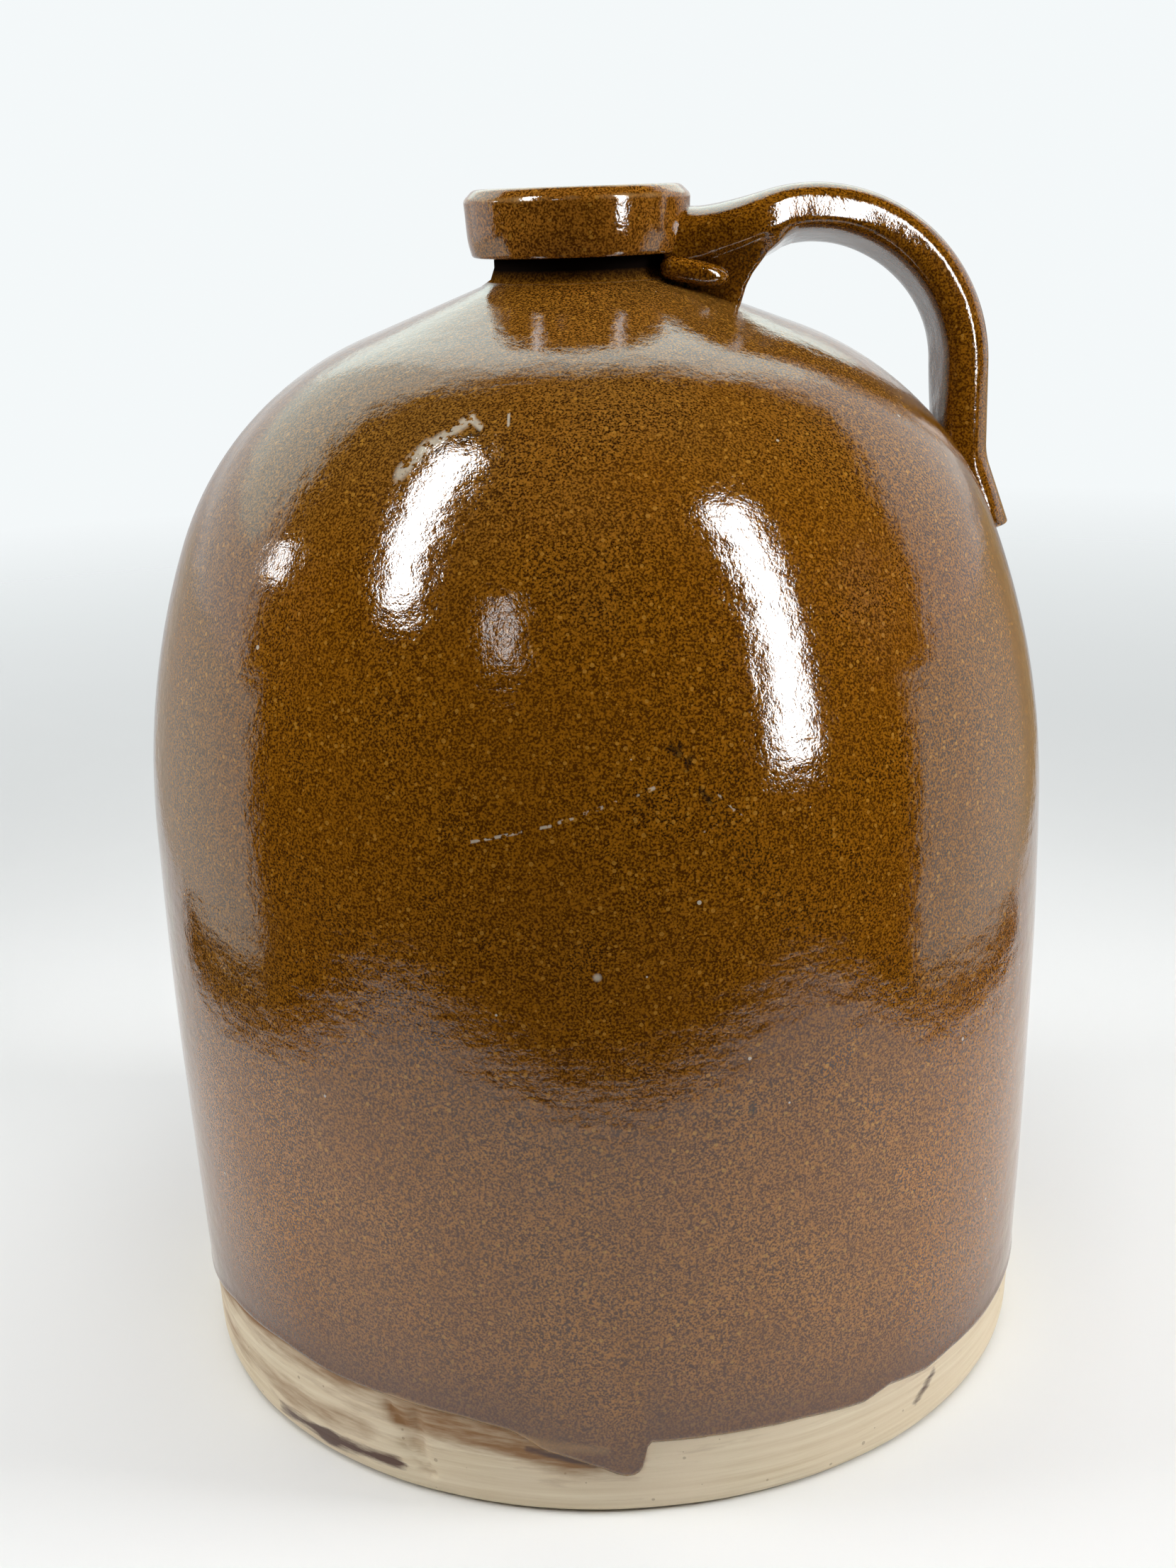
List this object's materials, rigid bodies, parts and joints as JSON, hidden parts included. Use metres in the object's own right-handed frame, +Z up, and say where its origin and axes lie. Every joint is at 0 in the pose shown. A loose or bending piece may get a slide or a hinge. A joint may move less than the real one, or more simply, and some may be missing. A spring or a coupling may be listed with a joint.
{
  "type": "stoneware jug",
  "caption": "Domed stoneware jug with a narrow collared mouth for a stopper, a bent strap handle at the shoulder, a brown glaze and a bare clay foot.",
  "frame": {"origin": "centre of the jug's underside, on the surface that it stands on", "axes": "+Z up the axis of the body, out of the mouth; +X from the axis towards the handle"},
  "size_m": [0.1836, 0.1836, 0.237],
  "materials": {
    "clay": "bare fired stoneware, fine scrape marks",
    "brown_glaze": "glossy mottled brown slip glaze"
  },
  "bodies": {
    "root": {"lower_body": "clay", "shoulder": "clay", "mouth_collar": "clay", "handle": "clay", "handle_wad": "clay", "outside_glaze": "brown_glaze", "inside_glaze": "brown_glaze"}
  },
  "joints": []
}
